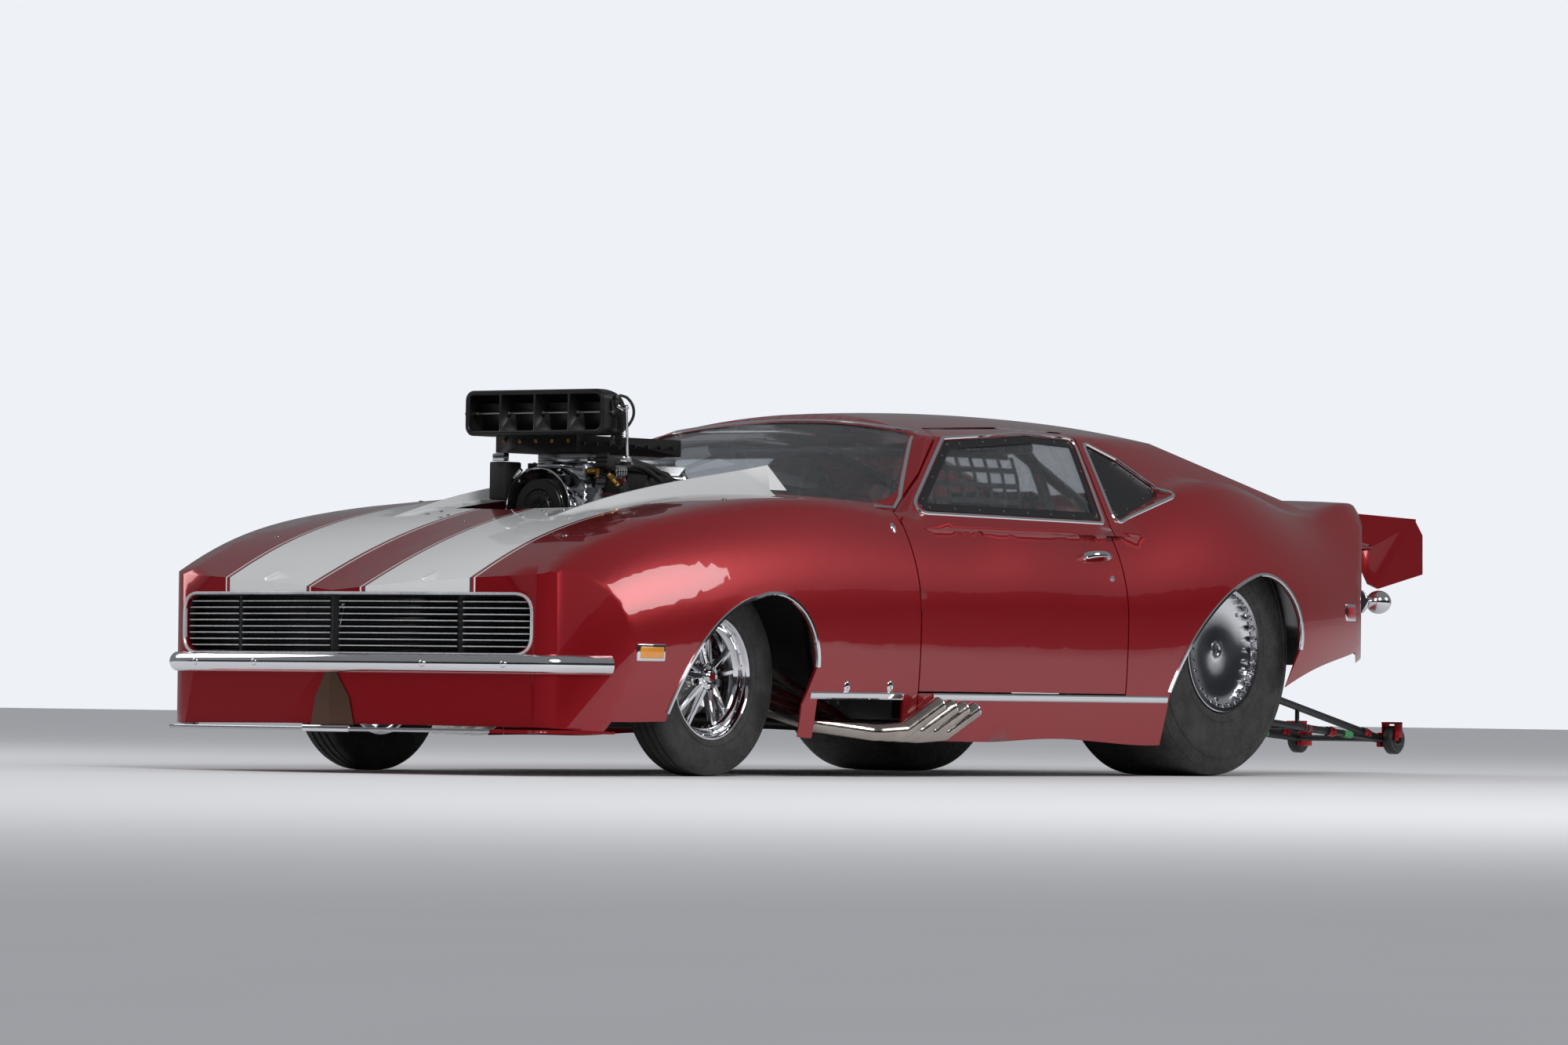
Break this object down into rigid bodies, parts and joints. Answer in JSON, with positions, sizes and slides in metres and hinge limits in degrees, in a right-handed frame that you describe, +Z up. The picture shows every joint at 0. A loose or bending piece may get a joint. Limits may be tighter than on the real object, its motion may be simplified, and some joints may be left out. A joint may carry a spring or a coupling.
{
  "type": "drag racing car",
  "caption": "Closed-body drag racing car with a blown engine through the bonnet, deck spoiler and wheelie bar.",
  "frame": {"origin": "on the ground, under the middle of the overall length and width", "axes": "+X towards the nose, +Y to the car's left, +Z up"},
  "size_m": [6.2, 2.0764, 1.296],
  "materials": {
    "body_red": "metallic gloss",
    "chrome": "polished",
    "black_frame": "satin",
    "aluminium": "satin",
    "steel": "satin",
    "cast": "rough",
    "black_coat": "gloss",
    "grille_black": "satin",
    "clear": "clear",
    "lamp_red": "gloss",
    "tyre": "matt",
    "black_plastic": "matt",
    "webbing": "woven"
  },
  "bodies": {
    "chassis": {"front_clip": "body_red", "body_shell": "body_red", "windscreen": "clear", "rear_glass": "clear", "front_bumper": "chrome", "rear_bumper": "chrome", "grille": "grille_black", "front_splitter": "aluminium", "rear_spoiler": "body_red", "tail_lamps": "lamp_red", "frame_rails": "black_frame", "front_frame": "black_frame", "rear_frame": "black_frame", "roll_cage": "black_frame", "cage_sides": "black_frame", "cage_braces": "black_frame", "front_suspension": "black_frame", "rear_axle_housing": "black_coat", "rear_suspension": "steel", "wheelie_bar": "black_coat", "engine_block": "cast", "gearbox": "aluminium", "supercharger": "black_coat", "blower_drive": "aluminium", "injector_hat": "black_coat", "headers": "chrome", "floor_and_firewall": "aluminium", "rear_tubs": "aluminium", "seat": "black_plastic", "dash_panel": "black_plastic"},
    "door_left_body": {"door_left": "body_red", "door_glass_left": "clear"},
    "door_right_body": {"door_right": "body_red", "door_glass_right": "clear"},
    "steer_left_body": {"knuckle_left": "aluminium"},
    "steer_right_body": {"knuckle_right": "aluminium"},
    "wheel_left_body": {"front_wheel_left": "chrome", "front_tyre_left": "tyre"},
    "wheel_right_body": {"front_wheel_right": "chrome", "front_tyre_right": "tyre"},
    "rack_body": {"steering_rack_bar": "steel"},
    "rear_axle_body": {"axle_shaft": "steel", "rear_wheels": "chrome", "rear_tyres": "tyre"},
    "drive_shaft_body": {"drive_shaft": "steel"},
    "wheelie_left_body": {"wheelie_wheel_left": "black_plastic"},
    "wheelie_right_body": {"wheelie_wheel_right": "black_plastic"},
    "steering_wheel_body": {"steering_wheel": "black_plastic"}
  },
  "joints": [
    {"name": "door_left_hinge", "type": "hinge", "parent": "chassis", "child": "door_left_body", "pos_m": [1.0575, 0.9282, 0.6], "axis": [0, 0.0911, -0.9958], "range_deg": [0, 65]},
    {"name": "door_right_hinge", "type": "hinge", "parent": "chassis", "child": "door_right_body", "pos_m": [1.0575, -0.9282, 0.6], "axis": [0, 0.0911, 0.9958], "range_deg": [0, 65]},
    {"name": "steer_left", "type": "hinge", "parent": "chassis", "child": "steer_left_body", "pos_m": [2.02, 0.59, 0.212], "axis": [0, -0.1501, 0.9887], "range_deg": [-20, 20]},
    {"name": "steer_right", "type": "hinge", "parent": "chassis", "child": "steer_right_body", "pos_m": [2.02, -0.59, 0.212], "axis": [0, 0.1501, 0.9887], "range_deg": [-20, 20]},
    {"name": "rack_slide", "type": "slide", "parent": "chassis", "child": "rack_body", "axis": [0, 1, 0], "range_m": [-0.0395, 0.0395]},
    {"name": "steering_wheel_turn", "type": "hinge", "parent": "chassis", "child": "steering_wheel_body", "pos_m": [0.6, 0.33, 0.79], "axis": [-0.9889, 0, 0.1483], "range_deg": [-245, 245]},
    {"name": "wheel_left_spin", "type": "hinge", "parent": "steer_left_body", "child": "wheel_left_body", "pos_m": [2.02, 0.715, 0.33], "axis": [0, 1, 0], "continuous": true},
    {"name": "wheel_right_spin", "type": "hinge", "parent": "steer_right_body", "child": "wheel_right_body", "pos_m": [2.02, -0.715, 0.33], "axis": [0, 1, 0], "continuous": true},
    {"name": "rear_axle_spin", "type": "hinge", "parent": "chassis", "child": "rear_axle_body", "pos_m": [-0.9, 0, 0.457], "axis": [0, 1, 0], "continuous": true},
    {"name": "drive_shaft_spin", "type": "hinge", "parent": "chassis", "child": "drive_shaft_body", "pos_m": [0.425, 0, 0.33], "axis": [0.993, 0, -0.1178], "continuous": true},
    {"name": "wheelie_left_spin", "type": "hinge", "parent": "chassis", "child": "wheelie_left_body", "pos_m": [-3.045, 0.22, 0.13], "axis": [0, 1, 0], "continuous": true},
    {"name": "wheelie_right_spin", "type": "hinge", "parent": "chassis", "child": "wheelie_right_body", "pos_m": [-3.045, -0.22, 0.13], "axis": [0, 1, 0], "continuous": true}
  ],
  "couplings": [
    {"joint": "steer_right", "follows": "steer_left", "ratio": 1},
    {"joint": "steering_wheel_turn", "follows": "steer_left", "ratio": 12},
    {"joint": "rack_slide", "follows": "steer_left", "m_per_rad": 0.1097},
    {"joint": "drive_shaft_spin", "follows": "rear_axle_spin", "ratio": -4.1}
  ]
}
